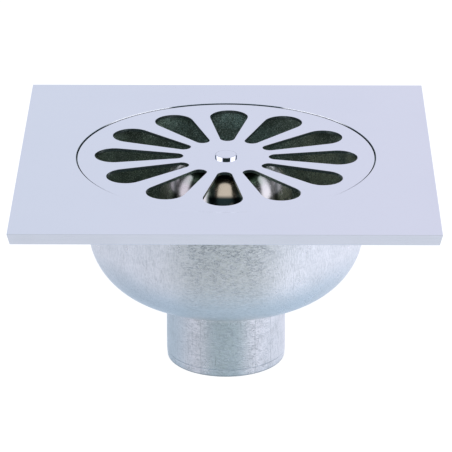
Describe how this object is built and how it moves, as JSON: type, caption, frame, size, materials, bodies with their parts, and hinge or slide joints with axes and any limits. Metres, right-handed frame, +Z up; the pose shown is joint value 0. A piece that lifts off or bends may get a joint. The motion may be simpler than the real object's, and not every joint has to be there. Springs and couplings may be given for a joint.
{
  "type": "floor drain",
  "caption": "Square cast floor drain with a round slotted grate, a round bowl with a bell trap, and a short outlet spigot below.",
  "frame": {"origin": "on the axis, at the end of the outlet spigot", "axes": "+Z up along the drain's axis, +X to the right and +Y to the back, square to the flange's sides"},
  "size_m": [0.15, 0.15, 0.0795],
  "materials": {
    "plated_casting": "satin plated casting, with a polished flange",
    "polished_plate": "polished",
    "bell_finish": "polished, warm"
  },
  "bodies": {
    "root": {"drain_body": "plated_casting", "grate": "polished_plate", "bell_cup": "bell_finish", "rivet": "polished_plate"}
  },
  "joints": []
}
